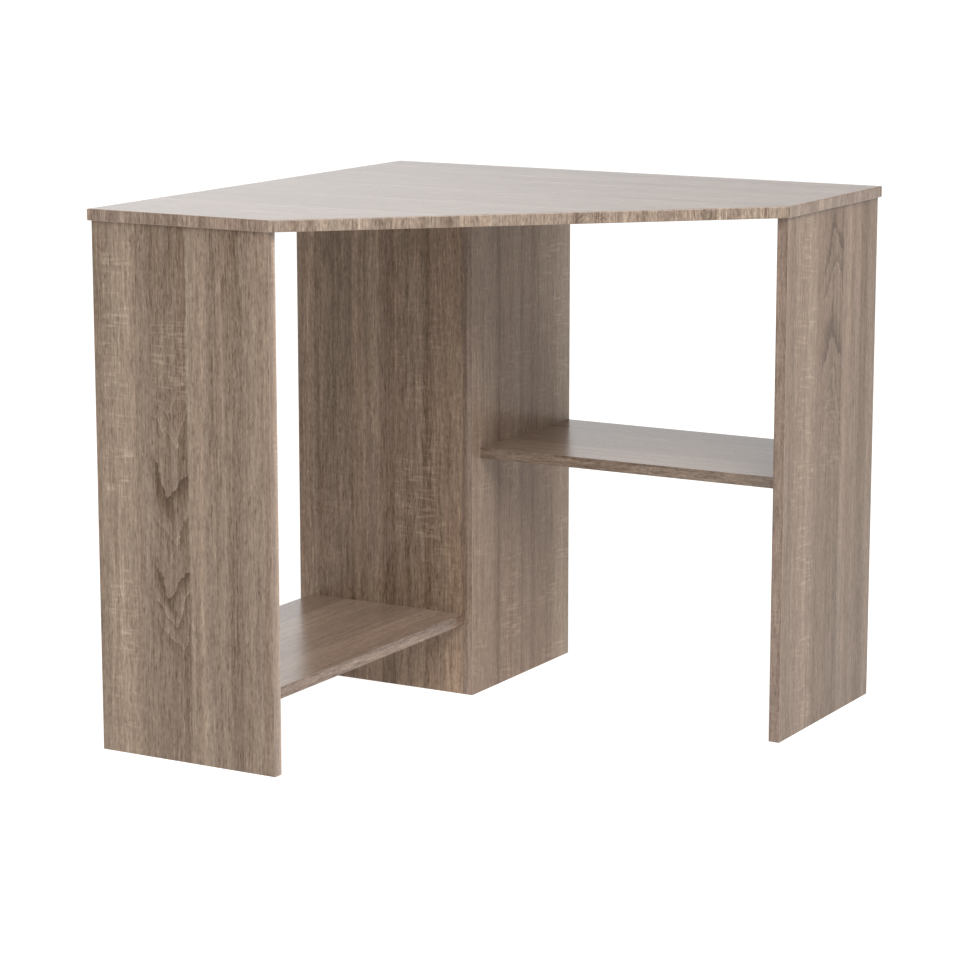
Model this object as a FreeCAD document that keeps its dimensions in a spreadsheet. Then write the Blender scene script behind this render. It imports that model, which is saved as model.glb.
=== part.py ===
import FreeCAD, Part
import math
import os
import re
import Sketcher
from FreeCAD import Placement, Rotation, Vector

# Corner desk in 16 mm melamine-faced chipboard, flat-packed with cam fittings. Millimetres.
# The origin is on the floor under the middle of the desktop's box, and +Z is up.
# The desk stands in a corner: the left wall is its low X side, the right wall its high Y side.
# "Back" means towards a wall and "front" towards the sitter, who sits at the diagonal edge.

sizes = {
    # the whole desk
    "deskHeight": 750,
    "wingLengthLeft": 808,          # along the left wall
    "wingLengthRight": 808,         # along the right wall
    "wingDepthLeft": 292,           # the left wing's end, out from the left wall
    "wingDepthRight": 318,          # the right wing's end, out from the right wall
    "topThickness": 16,
    "boardThickness": 16,
    "topOverhang": 4,               # desktop past the uprights, on every side
    # the square column in the corner
    "columnWidth": 304,             # from the left wall to its outer face
    "columnDepth": 302,             # from the right wall to its outer face
    # shelves
    "lowerShelfTop": 121,
    "lowerShelfBackSetback": 20,
    "upperShelfTop": 368,
    "upperShelfFrontSetback": 24,
    # edge bands
    "topBandThickness": 2,
    "topBandRadius": 1.5,
    "bandThickness": 0.8,
    "bandRadius": 0.4,
    # cam locks and their bolts
    "camDiameter": 14.8,
    "camLength": 12,
    "camRimChamfer": 0.4,
    "camDistance": 34,              # cam's centre to the joint
    "camNeckSlot": 4.6,
    "driveWidth": 1.5,
    "driveLength": 8,
    "driveDepth": 2.4,
    "markSize": 1.6,
    "markDepth": 0.5,
    "boltThreadDiameter": 6,
    "boltThreadLength": 10.5,
    "boltThreadPitch": 1.5,
    "boltThreadGroove": 0.6,
    "boltCollarDiameter": 7.4,
    "boltCollarLength": 2.5,
    "boltShankDiameter": 5.6,
    "boltNeckDiameter": 4,
    "boltHeadDiameter": 6.6,
    "boltHeadLength": 3,
    "boltChamfer": 0.6,
    # dowels
    "dowelDiameter": 8,
    "dowelLength": 30,
    "dowelFaceDepth": 10,           # the part that stands in the board's face
    "dowelChamfer": 0.8,
    "dowelFluteDiameter": 0.8,
    # fits
    "boreClearance": 0.1,           # all round a fitting in its bore
    "boreEndClearance": 0.5,        # past a fitting's end
    # where the fittings sit along a joint, from its ends
    "camInset": 60,
    "dowelInset": 28,
    "cornerCamInset": 70,
    "cornerDowelInset": 38,
}
fluteCount = 10
threadGrooveCount = 6
cornerCamCount = 3
cornerDowelCount = 4

# Places worked out from the sizes. X is the distance from the origin towards the right wing's end,
# Y towards the right wall.
places = {
    "leftWall": "-wingLengthRight / 2",
    "rightWall": "wingLengthLeft / 2",
    "topUnderside": "deskHeight - topThickness",
    # the left end panel, across the left wing's end
    "leftEndOuter": "rightWall - wingLengthLeft + topOverhang",
    "leftEndInner": "leftEndOuter + boardThickness",
    "leftEndFront": "leftWall + wingDepthLeft - topOverhang",
    # the right end panel, across the right wing's end
    "rightEndOuter": "leftWall + wingLengthRight - topOverhang",
    "rightEndInner": "rightEndOuter - boardThickness",
    "rightEndFront": "rightWall - wingDepthRight + topOverhang",
    # the edges that face the walls
    "backX": "leftWall + topOverhang",
    "backY": "rightWall - topOverhang",
    # the column's two panels
    "columnFaceX": "leftWall + columnWidth",
    "columnInsideX": "columnFaceX - boardThickness",
    "columnFaceY": "rightWall - columnDepth",
    "columnInsideY": "columnFaceY + boardThickness",
    # the shelves
    "lowerShelfBack": "backX + lowerShelfBackSetback",
    "lowerShelfFront": "min(leftEndFront; columnInsideX)",
    "lowerShelfUnderside": "lowerShelfTop - boardThickness",
    "upperShelfFront": "max(rightEndFront; columnFaceY) + upperShelfFrontSetback",
    "upperShelfUnderside": "upperShelfTop - boardThickness",
    # the desktop's corners, from the low X and low Y corner of its box
    "diagonalX": "wingLengthRight - wingDepthLeft",
    "diagonalY": "wingLengthLeft - wingDepthRight",
    "diagonalLength": "sqrt(diagonalX ^ 2 + diagonalY ^ 2)",
    "mitreX": "topBandThickness * (diagonalLength - diagonalX) / diagonalY",
    "mitreY": "topBandThickness * (diagonalLength - diagonalY) / diagonalX",
    # fittings
    "boltLength": "boltThreadLength + camDistance + boltHeadLength / 2",
    "headBottom": "boltLength - boltHeadLength",
    "neckBottom": "boltThreadLength + camDistance - camBore / 2 - boreEndClearance",
    "slotWidth": "boltHeadDiameter + 6 * boreClearance",
    "slotRoof": "camLength - boardThickness / 2 + slotWidth / 2",
    "boltBore": "boltCollarDiameter + 2 * boreClearance",
    "boltBoreDepth": "camDistance + boltHeadLength / 2 + boreEndClearance",
    "threadBore": "boltThreadDiameter + 2 * boreClearance",
    "dowelBore": "dowelDiameter + 2 * boreClearance",
    "camBore": "camDiameter + 2 * boreClearance",
}

axisNumber = {"x": 0, "y": 1, "z": 2}
planeAcross = {"x": "YZ_Plane", "y": "XZ_Plane", "z": "XY_Plane"}
originOf = {}       # each board's low corner, as three expressions
exported = []       # the objects that become files

doc = FreeCAD.newDocument("CornerDesk")
sheet = doc.addObject("Spreadsheet::Sheet", "Dims")
for row, (name, size) in enumerate(sizes.items(), start=1):
    sheet.set("A%d" % row, name)
    sheet.set("B%d" % row, str(size))
    sheet.setAlias("B%d" % row, name)
doc.recompute()


def bind(text):
    # Turn the names of places and sizes in an expression into references to the sheet.
    def swap(match):
        word = match.group(0)
        if word in places:
            return "(" + bind(places[word]) + ")"
        return "Dims." + word if word in sizes else word
    return re.sub(r"[A-Za-z]\w*", swap, str(text))


def setPlace(thing, corner):
    for axis, text in zip("xyz", corner):
        thing.setExpression("Placement.Base." + axis, bind(text))


def newBody(label, corner):
    body = doc.addObject("PartDesign::Body", label)
    body.Label = label
    setPlace(body, corner)
    originOf[label] = corner
    return body


def originFeature(body, role):
    return next(f for f in body.Origin.OriginFeatures if f.Role == role)


def newSketch(body, name, plane, level="0"):
    # A sketch on one of the body's own planes, moved along that plane's positive axis by level.
    sketch = body.newObject("Sketcher::SketchObject", name)
    sketch.AttachmentSupport = [(originFeature(body, plane), "")]
    sketch.MapMode = "FlatFace"
    if level != "0":
        sign = "-1 * " if plane == "XZ_Plane" else ""       # that plane's normal is -Y
        sketch.setExpression("AttachmentOffset.Base.z", bind(sign + "(" + level + ")"))
    return sketch


def bindConstraint(sketch, constraint, text):
    index = sketch.addConstraint(constraint)
    name = "size%d" % index
    sketch.renameConstraint(index, name)
    sketch.setExpression("Constraints." + name, bind(text))


def pinPoint(sketch, curve, vertex, point):
    # Tie a point of a curve to its distances from the sketch's origin.
    start = sketch.getPoint(curve, vertex)
    if point[0] == "0":
        sketch.addConstraint(Sketcher.Constraint("PointOnObject", curve, vertex, -2))
    else:
        bindConstraint(sketch, Sketcher.Constraint("DistanceX", -1, 1, curve, vertex, start.x), point[0])
    if point[1] == "0":
        sketch.addConstraint(Sketcher.Constraint("PointOnObject", curve, vertex, -1))
    else:
        bindConstraint(sketch, Sketcher.Constraint("DistanceY", -1, 1, curve, vertex, start.y), point[1])


def drawPolygon(sketch, points):
    # The corners start on a circle, and their constraints then pull them into place.
    count = len(points)
    turns = [2 * math.pi * n / count for n in range(count)]
    rough = [Vector(50 + 20 * math.cos(turn), 50 + 20 * math.sin(turn), 0) for turn in turns]
    for n in range(count):
        sketch.addGeometry(Part.LineSegment(rough[n], rough[(n + 1) % count]), False)
    for n in range(count):
        sketch.addConstraint(Sketcher.Constraint("Coincident", n, 2, (n + 1) % count, 1))
    for n, point in enumerate(points):
        pinPoint(sketch, n, 1, point)


def drawRectangle(sketch, low, high):
    drawPolygon(sketch, [low, (high[0], low[1]), high, (low[0], high[1])])


def drawCircle(sketch, centre, diameter):
    rough = Vector(10 + 30 * sketch.GeometryCount, 10, 0)
    curve = sketch.addGeometry(Part.Circle(rough, Vector(0, 0, 1), 5), False)
    if centre == ("0", "0"):
        sketch.addConstraint(Sketcher.Constraint("Coincident", curve, 3, -1, 1))
    else:
        pinPoint(sketch, curve, 3, centre)
    bindConstraint(sketch, Sketcher.Constraint("Diameter", curve, 10), diameter)


def pad(body, sketch, length):
    feature = body.newObject("PartDesign::Pad", body.Name + "Pad")
    feature.Profile = sketch
    feature.setExpression("Length", bind(length))
    return feature


def pocket(body, sketch, depth, reverse=False):
    feature = body.newObject("PartDesign::Pocket", sketch.Name + "Cut")
    feature.Profile = sketch
    feature.setExpression("Length", bind(depth))
    feature.Reversed = reverse
    return feature


def repeatAround(body, feature, count, angle=360):
    # Repeat a feature about the body's Z axis, evenly through an angle.
    pattern = body.newObject("PartDesign::PolarPattern", feature.Name + "Around")
    pattern.Originals = [feature]
    pattern.Axis = (originFeature(body, "Z_Axis"), [""])
    pattern.Angle = angle
    pattern.Occurrences = count
    body.Tip = pattern


# Boards and their edge bands

def roundArrises(body, strip, edges, radius):
    fillet = body.newObject("PartDesign::Fillet", body.Name + "Arris")
    fillet.Base = (strip, edges)
    fillet.setExpression("Radius", bind(radius))


def longestEdges(shape, keep):
    # The two longest of a shape's edges that pass a test.
    found = [(edge.Length, "Edge%d" % n) for n, edge in enumerate(shape.Edges, start=1) if keep(edge)]
    return [name for length, name in sorted(found, reverse=True)[:2]]


def band(label, low, high, axis, side):
    # A strip of edge band between two corners, its two outer long edges rounded.
    body = newBody(label, low)
    sketch = newSketch(body, label + "_outline", "XY_Plane")
    reach = ["(%s) - (%s)" % (high[n], low[n]) for n in range(3)]
    drawRectangle(sketch, ("0", "0"), (reach[0], reach[1]))
    strip = pad(body, sketch, reach[2])
    doc.recompute()
    box = strip.Shape.BoundBox
    lowest, highest = (box.XMin, box.YMin), (box.XMax, box.YMax)
    outer = (lowest if side == "low" else highest)[axisNumber[axis]]

    def onOuterFace(edge):
        return all(abs(v.Point[axisNumber[axis]] - outer) < 1e-6 for v in edge.Vertexes)
    roundArrises(body, strip, longestEdges(strip.Shape, onOuterFace), "bandRadius")
    exported.append(body)


def board(label, low, high, banded):
    # A rectangular board between two corners. banded lists the edges, such as ("x", "low"), that
    # carry a band, whose thickness comes off the board.
    coreLow, coreHigh = list(low), list(high)
    for axis, side in banded:
        n = axisNumber[axis]
        if side == "low":
            coreLow[n] = "%s + bandThickness" % low[n]
        else:
            coreHigh[n] = "%s - bandThickness" % high[n]
    body = newBody(label, coreLow)
    sketch = newSketch(body, label + "_outline", "XY_Plane")
    reach = ["(%s) - (%s)" % (coreHigh[n], coreLow[n]) for n in range(3)]
    drawRectangle(sketch, ("0", "0"), (reach[0], reach[1]))
    pad(body, sketch, reach[2])
    exported.append(body)
    for axis, side in banded:
        n = axisNumber[axis]
        bandLow, bandHigh = list(low), list(high)
        if side == "low":
            bandHigh[n] = coreLow[n]
        else:
            bandLow[n] = coreHigh[n]
        wall = "back" if (axis, side) in (("x", "low"), ("y", "high")) else "front"
        band("%s_band_%s" % (label, wall), bandLow, bandHigh, axis, side)
    return body


def makeDesktop():
    # Five-sided top. Its core is inset by the band on all five edges, and the bands meet in mitres.
    corner = ("leftWall", "rightWall - wingLengthLeft", "topUnderside")
    inset = "topBandThickness"
    outer = [("0", "0"), ("wingDepthLeft", "0"), ("wingLengthRight", "diagonalY"),
             ("wingLengthRight", "wingLengthLeft"), ("0", "wingLengthLeft")]
    inner = [(inset, inset), ("wingDepthLeft - mitreX", inset),
             ("wingLengthRight - " + inset, "diagonalY + mitreY"),
             ("wingLengthRight - " + inset, "wingLengthLeft - " + inset),
             (inset, "wingLengthLeft - " + inset)]
    body = newBody("desktop", corner)
    sketch = newSketch(body, "desktop_outline", "XY_Plane")
    drawPolygon(sketch, inner)
    pad(body, sketch, "topThickness")
    exported.append(body)
    edgeNames = ("left_end", "diagonal", "right_end", "right_wall", "left_wall")
    for n, edgeName in enumerate(edgeNames):
        after = (n + 1) % len(outer)
        bandBody = newBody("desktop_band_" + edgeName, corner)
        sketch = newSketch(bandBody, bandBody.Name + "_outline", "XY_Plane")
        drawPolygon(sketch, [outer[n], outer[after], inner[after], inner[n]])
        strip = pad(bandBody, sketch, "topThickness")
        doc.recompute()
        # the outer edges are the longest, because the mitres shorten the inner ones
        roundArrises(bandBody, strip, longestEdges(strip.Shape, lambda edge: True), "topBandRadius")
        exported.append(bandBody)
    return body


def makeLeftEndPanel():
    low = ("backX", "leftEndOuter", "0")
    high = ("leftEndFront", "leftEndInner", "topUnderside")
    return board("left_end_panel", low, high, [("x", "low"), ("x", "high")])


def makeRightEndPanel():
    low = ("rightEndInner", "rightEndFront", "0")
    high = ("rightEndOuter", "backY", "topUnderside")
    return board("right_end_panel", low, high, [("y", "high"), ("y", "low")])


def makeLeftInnerPanel():
    # Its front edge butts raw against the right inner panel.
    low = ("backX", "columnFaceY", "0")
    high = ("columnInsideX", "columnInsideY", "topUnderside")
    return board("left_inner_panel", low, high, [("x", "low")])


def makeRightInnerPanel():
    low = ("columnInsideX", "columnFaceY", "0")
    high = ("columnFaceX", "backY", "topUnderside")
    return board("right_inner_panel", low, high, [("y", "high"), ("y", "low")])


def makeLowerShelf():
    low = ("lowerShelfBack", "leftEndInner", "lowerShelfUnderside")
    high = ("lowerShelfFront", "columnFaceY", "lowerShelfTop")
    return board("lower_shelf", low, high, [("x", "low"), ("x", "high")])


def makeUpperShelf():
    low = ("columnFaceX", "upperShelfFront", "upperShelfUnderside")
    high = ("rightEndInner", "backY", "upperShelfTop")
    return board("upper_shelf", low, high, [("y", "high"), ("y", "low")])


# Fittings: one of each is drawn here, and every joint places linked copies of it

def cutDrive(body, level):
    # A cross-shaped screwdriver recess: one slot, repeated a quarter turn on.
    sketch = newSketch(body, body.Name + "_drive", "XY_Plane", level)
    half = ("driveLength / 2", "driveWidth / 2")
    drawRectangle(sketch, ("-1 * " + half[0], "-1 * " + half[1]), half)
    slot = pocket(body, sketch, "driveDepth")
    repeatAround(body, slot, 2, 90)


def drawCam():
    # Zinc cam. Its bottom is at z = 0, its driven face at the board's face, its bolt comes in from +X.
    body = newBody("one_cam", ("0", "0", "0"))
    sketch = newSketch(body, "cam_round", "XY_Plane")
    drawCircle(sketch, ("0", "0"), "camDiameter")
    barrel = pad(body, sketch, "camLength")
    doc.recompute()
    rim = longestEdges(barrel.Shape, lambda edge: edge.BoundBox.ZMin > barrel.Shape.BoundBox.ZMax - 1e-6)
    chamfer = body.newObject("PartDesign::Chamfer", "camRim")
    chamfer.Base = (barrel, rim[:1])
    chamfer.setExpression("Size", bind("camRimChamfer"))
    # the wide channel takes the bolt's head in, the narrow slot holds its neck
    sketch = newSketch(body, "cam_channel", "XY_Plane")
    drawRectangle(sketch, ("-1 * camDiameter", "-1 * slotWidth / 2"), ("slotWidth / 2", "slotWidth / 2"))
    pocket(body, sketch, "slotRoof", reverse=True)
    sketch = newSketch(body, "cam_neck_slot", "XY_Plane")
    drawRectangle(sketch, ("0", "-1 * camNeckSlot / 2"), ("camDiameter", "camNeckSlot / 2"))
    pocket(body, sketch, "slotRoof", reverse=True)
    # an arrow points to the bolt
    sketch = newSketch(body, "cam_arrow", "XY_Plane", "camLength")
    tip = "camDiameter / 2 - markSize / 2"
    tail = tip + " - markSize"
    drawPolygon(sketch, [(tip, "0"), (tail, "markSize / 2"), (tail, "-1 * markSize / 2")])
    pocket(body, sketch, "markDepth")
    cutDrive(body, "camLength")
    return body


def drawBolt():
    # Steel cam bolt, turned, with its thread's tip at z = 0 and its head at the top.
    body = newBody("one_bolt", ("0", "0", "0"))
    thread, collar, shank, neck, head = ("bolt%sDiameter / 2" % part
                                         for part in ("Thread", "Collar", "Shank", "Neck", "Head"))
    collarTop = "boltThreadLength + boltCollarLength"
    profile = [("0", "0"), (thread + " - boltChamfer", "0"), (thread, "boltChamfer"),
               (thread, "boltThreadLength"), (collar, "boltThreadLength"), (collar, collarTop),
               (shank, collarTop), (shank, "neckBottom"), (neck, "neckBottom"), (neck, "headBottom"),
               (head, "headBottom"), (head, "boltLength - boltChamfer"),
               (head + " - boltChamfer", "boltLength"), ("0", "boltLength")]
    sketch = newSketch(body, "bolt_profile", "XZ_Plane")
    drawPolygon(sketch, profile)
    turned = body.newObject("PartDesign::Revolution", "boltTurned")
    turned.Profile = sketch
    turned.ReferenceAxis = (sketch, ["V_Axis"])
    turned.Angle = 360
    # thread: one V groove, repeated along the shank
    sketch = newSketch(body, "bolt_groove", "XZ_Plane")
    halfOpen = "boltThreadGroove * 0.9"
    drawPolygon(sketch, [(thread + " - boltThreadGroove", "boltThreadPitch"),
                         (thread + " + boltThreadGroove / 2", "boltThreadPitch - " + halfOpen),
                         (thread + " + boltThreadGroove / 2", "boltThreadPitch + " + halfOpen)])
    groove = body.newObject("PartDesign::Groove", "boltGroove")
    groove.Profile = sketch
    groove.ReferenceAxis = (sketch, ["V_Axis"])
    groove.Angle = 360
    doc.recompute()
    rings = body.newObject("PartDesign::LinearPattern", "boltThread")
    rings.Originals = [groove]
    rings.Direction = (originFeature(body, "Z_Axis"), [""])
    rings.setExpression("Length", bind("boltThreadPitch * %d" % (threadGrooveCount - 1)))
    rings.Occurrences = threadGrooveCount
    body.Tip = rings
    return body


def drawDowel():
    # Beech dowel with chamfered ends and flutes that let the glue out. One end is at z = 0.
    body = newBody("one_dowel", ("0", "0", "0"))
    sketch = newSketch(body, "dowel_round", "XY_Plane")
    drawCircle(sketch, ("0", "0"), "dowelDiameter")
    rod = pad(body, sketch, "dowelLength")
    doc.recompute()
    chamfer = body.newObject("PartDesign::Chamfer", "dowelEnds")
    chamfer.Base = (rod, longestEdges(rod.Shape, lambda edge: abs(edge.BoundBox.ZLength) < 1e-6))
    chamfer.setExpression("Size", bind("dowelChamfer"))
    sketch = newSketch(body, "dowel_flute", "XY_Plane")
    drawCircle(sketch, ("dowelDiameter / 2", "0"), "dowelFluteDiameter")
    flute = pocket(body, sketch, "dowelLength", reverse=True)
    repeatAround(body, flute, fluteCount)
    return body


# Joints

def direction(text):
    # "+x" and the like, as an axis letter, a sign and a vector
    sign = -1 if text[0] == "-" else 1
    vector = Vector(*[sign if letter == text[1] else 0 for letter in "xyz"])
    return text[1], sign, vector


def moved(level, sign, distance):
    return "%s %s (%s)" % (level, "+" if sign > 0 else "-", distance)


def drill(body, name, facing, level, points, diameter, depth):
    # Round bores into the face of a board that looks along facing, at level on that axis.
    axis, sign, vector = direction(facing)
    corner = originOf[body.Label]
    sketch = newSketch(body, name, planeAcross[axis], "(%s) - (%s)" % (level, corner[axisNumber[axis]]))
    others = [letter for letter in "xyz" if letter != axis]
    for point in points:
        local = tuple("(%s) - (%s)" % (point[letter], corner[axisNumber[letter]]) for letter in others)
        drawCircle(sketch, local, diameter)
    # a pocket cuts against its plane's normal, which is -Y on the XZ plane
    pocket(body, sketch, depth, reverse=(sign < 0) != (axis == "y"))


def group(label, master, points, rotation):
    # Linked copies of one fitting, kept together as a node of separate solids.
    copies = []
    for n, point in enumerate(points, start=1):
        copy = doc.addObject("App::Link", "%s_%d" % (label, n))
        copy.LinkedObject = master
        copy.Placement = Placement(Vector(), rotation)
        setPlace(copy, (point["x"], point["y"], point["z"]))
        copies.append(copy)
    compound = doc.addObject("Part::Compound", label)
    compound.Label = label
    compound.Links = copies
    exported.append(compound)


def join(name, edgeBoard, faceBoard, toFace, level, camFacing, camFace, run, camPlaces, dowelPlaces):
    # Bolt one board's edge to another board's face, which lies across toFace at level. The cams are
    # sunk in the edge board's face that looks along camFacing, and the fittings are spread along run.
    faceAxis, faceSign, faceVector = direction(toFace)
    camAxis, camSign, camVector = direction(camFacing)
    middle = moved(camFace, -camSign, "boardThickness / 2")

    def spots(across, positions, through=middle):
        return [{faceAxis: across, camAxis: through, run: position} for position in positions]
    towards = ("-" if faceSign > 0 else "+") + faceAxis
    camCentre = moved(level, -faceSign, "camDistance")
    onJoint = spots(level, camPlaces)
    dowelsOnJoint = spots(level, dowelPlaces)
    edgeDepth = "dowelLength - dowelFaceDepth + boreEndClearance"
    drill(faceBoard, name + "_thread_bores", towards, level, onJoint, "threadBore",
          "boltThreadLength + boreEndClearance")
    drill(faceBoard, name + "_dowel_face_bores", towards, level, dowelsOnJoint, "dowelBore",
          "dowelFaceDepth + boreEndClearance")
    drill(edgeBoard, name + "_bolt_bores", toFace, level, onJoint, "boltBore", "boltBoreDepth")
    drill(edgeBoard, name + "_dowel_edge_bores", toFace, level, dowelsOnJoint, "dowelBore", edgeDepth)
    drill(edgeBoard, name + "_cam_bores", camFacing, camFace, spots(camCentre, camPlaces), "camBore",
          "camLength + boreEndClearance")
    fromFace = Rotation(Vector(0, 0, 1), faceVector.negative())
    camTurn = Rotation(faceVector, camVector.cross(faceVector), camVector, "ZXY")
    camBottom = moved(camFace, -camSign, "camLength")
    group(name + "_cams", cam, spots(camCentre, camPlaces, camBottom), camTurn)
    group(name + "_bolts", bolt, spots(moved(level, faceSign, "boltThreadLength"), camPlaces), fromFace)
    group(name + "_dowels", dowel, spots(moved(level, faceSign, "dowelFaceDepth"), dowelPlaces), fromFace)


def insets(low, high, inset):
    # Two places, as far in from either end of a joint.
    return ["%s + %s" % (low, inset), "%s - %s" % (high, inset)]


def spread(low, high, inset, count):
    # Even places from one inset to the other.
    span = "(%s - (%s) - 2 * %s)" % (high, low, inset)
    return ["%s + %s + %s * %d / %d" % (low, inset, span, n, count - 1) for n in range(count)]


def joinTop(name, upright, run, low, high, camFacing, camFace):
    join(name, upright, desktop, "+z", "topUnderside", camFacing, camFace, run,
         insets(low, high, "camInset"), insets(low, high, "dowelInset"))


def joinLowerShelf(name, faceBoard, toFace, level):
    low, high = "lowerShelfBack", "lowerShelfFront"
    join(name, lowerShelf, faceBoard, toFace, level, "-z", "lowerShelfUnderside", "x",
         insets(low, high, "camInset"), insets(low, high, "dowelInset"))


def joinUpperShelf(name, faceBoard, toFace, level):
    low, high = "upperShelfFront", "backY"
    join(name, upperShelf, faceBoard, toFace, level, "-z", "upperShelfUnderside", "y",
         insets(low, high, "camInset"), insets(low, high, "dowelInset"))


def joinCorner():
    join("column_corner", leftInnerPanel, rightInnerPanel, "+x", "columnInsideX", "+y", "columnInsideY", "z",
         spread("0", "topUnderside", "cornerCamInset", cornerCamCount),
         spread("0", "topUnderside", "cornerDowelInset", cornerDowelCount))


desktop = makeDesktop()
leftEndPanel = makeLeftEndPanel()
rightEndPanel = makeRightEndPanel()
leftInnerPanel = makeLeftInnerPanel()
rightInnerPanel = makeRightInnerPanel()
lowerShelf = makeLowerShelf()
upperShelf = makeUpperShelf()

cam = drawCam()
bolt = drawBolt()
dowel = drawDowel()

joinTop("left_end_panel_top", leftEndPanel, "x", "backX", "leftEndFront", "+y", "leftEndInner")
joinTop("left_inner_panel_top", leftInnerPanel, "x", "backX", "columnInsideX", "+y", "columnInsideY")
joinTop("right_inner_panel_top", rightInnerPanel, "y", "columnFaceY", "backY", "-x", "columnInsideX")
joinTop("right_end_panel_top", rightEndPanel, "y", "rightEndFront", "backY", "-x", "rightEndInner")
joinLowerShelf("lower_shelf_end", leftEndPanel, "-y", "leftEndInner")
joinLowerShelf("lower_shelf_column", leftInnerPanel, "+y", "columnFaceY")
joinUpperShelf("upper_shelf_column", rightInnerPanel, "-x", "columnFaceX")
joinUpperShelf("upper_shelf_end", rightEndPanel, "+x", "rightEndInner")
joinCorner()
doc.recompute()


def faults():
    # Everything that failed to build, cut nothing, or came out as no valid solid.
    found = []
    for thing in doc.Objects:
        if "Invalid" in thing.State or "Error" in thing.State:
            found.append(thing.Name + " failed")
        if thing.TypeId in ("PartDesign::Pocket", "PartDesign::Groove"):
            if thing.Shape.Volume > thing.BaseFeature.Shape.Volume - 1e-3:
                found.append(thing.Name + " cuts nothing")
    for thing in exported:
        if thing.Shape.isNull() or not thing.Shape.isValid() or not thing.Shape.Solids:
            found.append(thing.Label + " has no valid solid")
    return found


problems = faults()
if problems:
    raise RuntimeError("; ".join(problems))
os.makedirs("parts", exist_ok=True)
for thing in exported:
    thing.Shape.exportStep("parts/%s.step" % thing.Label)
print("%d nodes, %d solids" % (len(exported), sum(len(thing.Shape.Solids) for thing in exported)))
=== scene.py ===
import math

import bpy
from mathutils import Euler, Matrix, Vector


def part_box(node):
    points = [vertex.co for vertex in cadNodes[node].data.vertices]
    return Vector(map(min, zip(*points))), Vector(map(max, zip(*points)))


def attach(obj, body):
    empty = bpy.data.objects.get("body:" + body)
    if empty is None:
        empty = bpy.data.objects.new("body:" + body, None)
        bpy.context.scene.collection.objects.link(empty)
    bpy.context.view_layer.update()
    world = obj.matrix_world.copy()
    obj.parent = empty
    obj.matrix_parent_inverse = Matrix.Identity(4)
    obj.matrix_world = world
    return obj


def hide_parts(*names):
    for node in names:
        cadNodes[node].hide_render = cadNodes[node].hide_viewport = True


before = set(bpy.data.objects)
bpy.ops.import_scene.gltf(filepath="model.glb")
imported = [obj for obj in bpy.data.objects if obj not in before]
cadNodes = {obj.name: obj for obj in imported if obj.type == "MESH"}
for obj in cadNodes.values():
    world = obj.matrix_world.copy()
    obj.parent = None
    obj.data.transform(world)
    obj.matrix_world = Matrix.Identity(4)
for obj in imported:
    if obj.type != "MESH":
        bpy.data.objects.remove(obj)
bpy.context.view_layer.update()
scene = bpy.context.scene
mm = 0.001
rampZero = 0.5  # where a ramp that holds signed values has its nought
print("frame loaded:", len(cadNodes), "CAD nodes")


def hexColour(code):
    channels = [int(code[i:i + 2], 16) / 255 for i in (1, 3, 5)]
    return [c / 12.92 if c <= 0.04045 else ((c + 0.055) / 1.055) ** 2.4 for c in channels] + [1.0]


def addNode(tree, kind, links=None, **settings):
    node = tree.nodes.new(kind)
    for name, value in settings.items():
        setattr(node, name, value)
    for socket, source in (links or {}).items():
        if isinstance(source, bpy.types.Node):
            source = source.outputs[0]
        if isinstance(source, bpy.types.NodeSocket):
            tree.links.new(source, node.inputs[socket])
        else:
            node.inputs[socket].default_value = source
    return node


def setRamp(ramp, stops):
    # stops are two or more of (place from 0 to 1, colour), in order
    while len(ramp.elements) < len(stops):
        ramp.elements.new(1.0)
    for element, (place, colour) in zip(ramp.elements, stops):
        element.position = place
        element.color = colour


def newMaterial(name):
    material = bpy.data.materials.new(name)
    material.use_nodes = True
    material.node_tree.nodes.clear()
    return material


# camera at the angle the desk is sold at: a long lens, a little above the top
camera = {
    "place": (2.16334, -3.82215, 1.20309),  # metres
    "turn": (79.010, 0.030, 29.826),  # degrees
    "lens": 118.96,
    "sensor": 36.0,
    "clip": (0.05, 200),  # metres
}


def makeCamera(s):
    data = bpy.data.cameras.new("deskCamera")
    data.lens = s["lens"]
    data.sensor_width = s["sensor"]
    data.clip_start, data.clip_end = s["clip"]
    eye = bpy.data.objects.new("deskCamera", data)
    scene.collection.objects.link(eye)
    eye.location = s["place"]
    eye.rotation_euler = [math.radians(angle) for angle in s["turn"]]
    scene.camera = eye


# White studio: even light, a bright wall behind, a large softbox from the right, a weak panel in front
studio = {
    "skyStrength": 0.45,  # even light from all round
    "wash": {  # extra on the wall behind the desk, which the tops mirror
        "strength": 1.05,
        "ahead": (0.82, 0.93),  # how squarely behind the desk it starts and is full
        "height": (0.50, 0.30),  # how high it ends and is full
        "sides": (-0.14, 0.15),  # where it starts and stops fading, from left to right
        "fade": 0.50,  # share lost on the way
    },
    "aim": (0.0, 0.0, 0.40),  # metres
    "key": {"azimuth": 52, "elevation": 44, "distance": 3.6, "width": 2.9, "height": 2.0, "watts": 168},
    "fill": {"azimuth": 12, "elevation": 8, "distance": 6.0, "width": 7.0, "height": 2.8, "watts": 61},
    "floor": {
        "size": 60.0,  # metres
        "drop": 0.5,  # millimetres below the feet, so the two don't flicker
        "colour": "#959390",
        "roughness": 0.9,
        "glow": 0.97,  # the sweep is lit from below, so it stays pale under the desk
    },
}


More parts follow.
